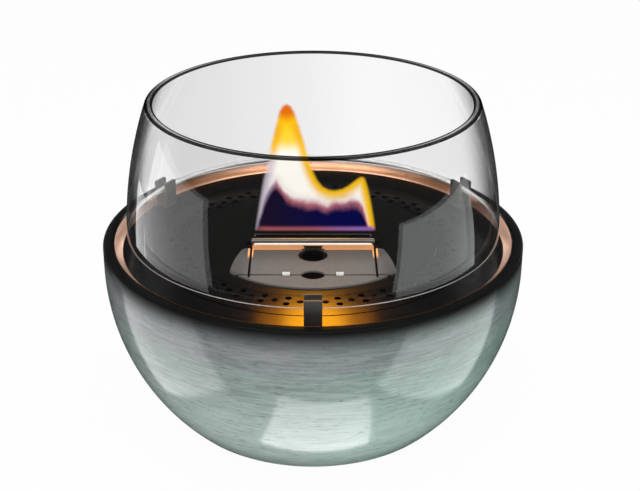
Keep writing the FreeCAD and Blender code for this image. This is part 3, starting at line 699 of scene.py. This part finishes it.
def glass_finish(name, darkness, grazing):
    """Clear glass that mirrors towards its outline, with painted shade at a slant, on its rim and at the
    back, painted light in clearer patches, and a painted highlight as a pale foot line.
    """
    finish, place = new_finish(name)
    surface(finish, {
        "Base Color": grey(mirror_white),
        "Metallic": 1.0,
        "Roughness": 0.01 + place.grain(glass_ripples) * 0.02,
    })
    see_through, brightest, painted_shade_glass = (
        place.node("ShaderNodeBsdfTransparent", None, {"Color": grey(value)})
        for value in (clear_grey, clear_white, painted_shade_grey)
    )
    painted_foot_highlight = place.node("ShaderNodeBsdfDiffuse", None, {"Color": grey(painted_foot_grey)})
    slant = place.node("ShaderNodeLayerWeight", None, {"Blend": 0.5}, "Facing")
    across, depth, level, radius = place.axis(0), place.axis(1), place.axis(2), place.radius()

    # Painted shade: the glass darkens at a slant (less on the right), on its rim line and in a grey patch at
    # the back, for camera rays only.
    rim_middle = abs(radius - (glass_top_radius - glass_wall / 2)).rise(*rim_middle_half) * rim_middle_light
    on_rim = level.rise(*rim_z) * (rim_line_darkness - rim_middle)
    right_side = across.rise(*right_x) * softer_right
    slanted = slant.rise(slant_clear - right_side, slant_dark + right_side * right_dark_share) * darkness
    at_rear = depth.rise(*rear_y)
    painted_rear_shade = at_rear * across.rise(*grey_right_x) * across.rise(*grey_left_x) * rear_shade_share
    dimming = slanted.larger(on_rim).larger(painted_rear_shade) * place.ray("Is Camera Ray")

    # Painted light: a clearer band in front and a clear patch at the back.
    painted_light_band = slant.rise(*pale_slant) * (1 - right_side * pale_right_loss) * depth.rise(*pale_y)
    painted_clearest = painted_light_band.larger(at_rear * across.rise(*clear_rear_x))
    dimmed = dimming.between(painted_clearest.between(see_through, brightest), painted_shade_glass)

    mirror_height = level.rise(*mirror_above_z) * level.rise(*mirror_below_z)
    reflected = (glass_reflectance + slant ** grazing_power * grazing) * mirror_height
    mirrored = reflected.between(dimmed, main_shader(finish))

    # Painted highlight: a pale line round the foot, and a pale face under the foot at the back.
    foot_line = level.rise(*foot_line_z) * radius.rise(*foot_line_radius)
    foot_face = level.rise(*foot_face_z) * depth.rise(*foot_face_y) * foot_face_share
    show(finish, foot_line.larger(foot_face).between(mirrored, painted_foot_highlight))
    return finish


outer_glass = glass_finish("chimney_glass_outside", side_darkness, outer_grazing)
inner_glass = glass_finish("chimney_glass_inside", 0.0, inner_grazing)

chord_r, chord_z = glass_top_radius - glass_foot_radius, glass_top_z - glass_foot_z
chord = math.hypot(chord_r, chord_z)
reach = math.sqrt(glass_side_arc ** 2 - (chord / 2) ** 2)
side_centre = (
    (glass_foot_radius + glass_top_radius) / 2 - reach * chord_z / chord,
    (glass_foot_z + glass_top_z) / 2 + reach * chord_r / chord,
)


def side_angle(z, depth):
    """Angle at which the side, at a depth into its wall, reaches a height."""
    return math.degrees(math.asin((z - side_centre[1]) / (glass_side_arc - depth)))


def glass_radius(z, depth):
    """Radius of the side at a height."""
    return side_centre[0] + (glass_side_arc - depth) * math.cos(math.radians(side_angle(z, depth)))


def side_turn(depth):
    """Angle from the foot to the top of the side, at a depth into its wall."""
    return side_angle(glass_foot_z, depth) - side_angle(glass_top_z, depth)


bm = bmesh.new()
outer_foot = point(bm, glass_foot_radius, glass_foot_z)
outer_top = sweep(bm, outer_foot, side_centre, side_turn(0), glass_steps)
inner_foot = point(bm, glass_radius(glass_foot_z, glass_wall), glass_foot_z)
inner_top = sweep(bm, inner_foot, side_centre, side_turn(glass_wall), glass_steps)
join(bm, outer_top, inner_top)
join(bm, outer_foot, inner_foot)
glass_corners = [(vert.co.x / MM, vert.co.z / MM) for vert in (outer_foot, outer_top, inner_foot, inner_top)]
turn(bm)
for corner_radius, corner_z in glass_corners:
    round_corner(bm, corner_radius, corner_z, glass_edge_round)
for face in bm.faces:
    spot = face.calc_center_median()
    face.material_index = int(spot.xy.length / MM < glass_radius(spot.z / MM, glass_wall / 2))
chimney = piece("glass_chimney_clear", bm, outer_glass, "glass", smooth_to=60)
chimney.data.materials.append(inner_glass)
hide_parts("glass_chimney")

# Studio
# White floor and backdrop. Two soft lamps light the object, and the other panels only show in its glossy
# surfaces, with dark screens between them. Small amber lamps over the wick stand for the flame's own light.
floor_drop, floor_half, paper_cells = 0.2, 4.0, 3
floor_white, floor_pale, floor_backdrop_share = (0.90, 0.90, 0.90), (0.92, 0.92, 0.92), 0.96
room_strength, backdrop_strength, pure_white = 0.45, 1.0, (1.0, 1.0, 1.0)
tent_radius, tent_grey, tent_subdivisions = 3.0, 0.03, 3


def background_rays(wire):
    """1 for rays that show the background: from the camera, mirrored or through glass."""
    return wire.ray("Is Camera Ray").larger(wire.ray("Is Glossy Ray")).larger(wire.ray("Is Transmission Ray"))


floor_finish, place = new_finish("studio_floor")
surface(floor_finish, {
    "Base Color": place.grain(paper_cells).blend(floor_white, floor_pale),
    "Roughness": 1.0,
    "Specular IOR Level": 0.0,
})
white_paper = place.node("ShaderNodeEmission", None, {"Color": grey(1.0), "Strength": 1.0})
shown_white = background_rays(place) * floor_backdrop_share
show(floor_finish, shown_white.between(main_shader(floor_finish), white_paper))
bm = bmesh.new()
bmesh.ops.create_grid(bm, x_segments=1, y_segments=1, size=floor_half)
bmesh.ops.translate(bm, verts=bm.verts, vec=(0, 0, -floor_drop * MM))
floor = new_object("floor", bm, floor_finish)
floor.visible_glossy = False

world = bpy.data.worlds.new("studio")
bpy.context.scene.world = world
world.use_nodes = True
tree = world.node_tree
fill(tree, tree.nodes["Background"], {"Color": grey(1.0), "Strength": room_strength})
room = Wire(tree, tree.nodes["Background"].outputs[0])
backdrop = room.node("ShaderNodeBackground", None, {"Color": grey(1.0), "Strength": backdrop_strength})
fill(tree, tree.nodes["World Output"], {"Surface": background_rays(room).between(room, backdrop)})


def softbox(name, place, aim, size, radiance, mirrored=True, roll=0, colour=pure_white, shape="RECTANGLE"):
    """Flat lamp that lights the object, or one that only its glossy surfaces mirror."""
    lamp = bpy.data.lights.new(name, "AREA")
    lamp.shape, lamp.color = shape, colour
    lamp.size, lamp.size_y = size
    lamp.energy = radiance * math.pi * size[0] * size[1]
    box = bpy.data.objects.new(name, lamp)
    box.visible_glossy, box.visible_diffuse, box.visible_transmission = mirrored, not mirrored, False
    box.location = place
    facing = (Vector(aim) - Vector(place)).to_track_quat("-Z", "Y")
    box.rotation_euler = (facing @ Quaternion((0, 0, 1), math.radians(roll))).to_euler()
    bpy.context.scene.collection.objects.link(box)


middle, ring_middle, glass_middle = (0, 0, 0.07), (0, 0, 0.09), (0, 0, 0.1)
upper_rear, plate_front = (0.031, 0.344, 0.193), (0.001, -0.08, 0.0775)
green_white, glow_gold, glow_amber = (0.94, 1.0, 0.975), (1.0, 0.42, 0.006), (1.0, 0.31, 0.008)
softbox("lamp_top", (0, -0.15, 0.9), middle, size=(0.8, 0.8), radiance=2.2, mirrored=False)
softbox("lamp_front", (0, -0.95, 0.35), middle, size=(0.9, 0.5), radiance=1.6, mirrored=False)
softbox("mirror_left", (-0.899, 0.0, -0.37), middle, size=(0.976, 1.02), radiance=1.75)
softbox("mirror_right", (0.861, -0.175, -0.407), middle, size=(1.09, 0.95), radiance=2.15, colour=green_white)
softbox("mirror_left_rear", (-0.833, 0.5465, -0.225), glass_middle, size=(0.235, 0.20), radiance=1.9)
softbox("mirror_high_left", (-0.96, 0.648, 0.67), middle, size=(0.8, 0.55), radiance=2.0)
softbox("mirror_high_right", (0.96, 0.648, 0.67), middle, size=(0.8, 0.55), radiance=1.4)
softbox("mirror_below", (0.031, -0.176, -0.661), upper_rear, size=(0.46, 0.59), radiance=2.9, roll=-5.4)
softbox("mirror_back_left", (-0.62, 1.1, 0.15), ring_middle, size=(0.75, 0.22), radiance=5.2)
softbox("mirror_back_right", (0.62, 1.1, 0.15), ring_middle, size=(0.75, 0.22), radiance=6.4)
softbox("mirror_top", (0, -0.45, 0.85), middle, size=(1.6, 0.7), radiance=7.0)

glow = bpy.data.lights.new("flame_glow", "POINT")
glow.color, glow.energy, glow.shadow_soft_size = glow_amber, 0.005, 0.012
glow_lamp = bpy.data.objects.new("flame_glow", glow)
glow_lamp.location = (-0.002, 0.0045, 0.108)
bpy.context.scene.collection.objects.link(glow_lamp)
softbox("flame_front", (0.001, 0.004, 0.1215), plate_front, size=(0.030, 0.016), radiance=9.0,
        colour=glow_gold, shape="ELLIPSE")
softbox("flame_sides", (0.001, 0.004, 0.1205), plate_front, size=(0.054, 0.016), radiance=3.6,
        colour=glow_amber, shape="ELLIPSE")

tent_finish, place = new_finish("dark_screens")
show(tent_finish, place.node("ShaderNodeEmission", None, {"Color": grey(tent_grey), "Strength": 1.0}))
bm = bmesh.new()
bmesh.ops.create_icosphere(bm, subdivisions=tent_subdivisions, radius=tent_radius)
tent = new_object("dark_tent", bm, tent_finish)
tent.visible_camera = tent.visible_diffuse = tent.visible_transmission = tent.visible_shadow = False

# Camera
# A 74 mm lens, 25 degrees above the table; the object's axis stands a little left of the middle.
camera_data = bpy.data.cameras.new("camera")
camera_data.lens, camera_data.sensor_width, camera_data.shift_x = 74.39, 36.0, 0.0109
camera = bpy.data.objects.new("camera", camera_data)
camera.location = (0, -0.52103, 0.31719)
camera.rotation_euler = (math.radians(65.06), 0, 0)
bpy.context.scene.collection.objects.link(camera)
bpy.context.scene.camera = camera
bpy.context.scene.view_settings.view_transform = "Standard"
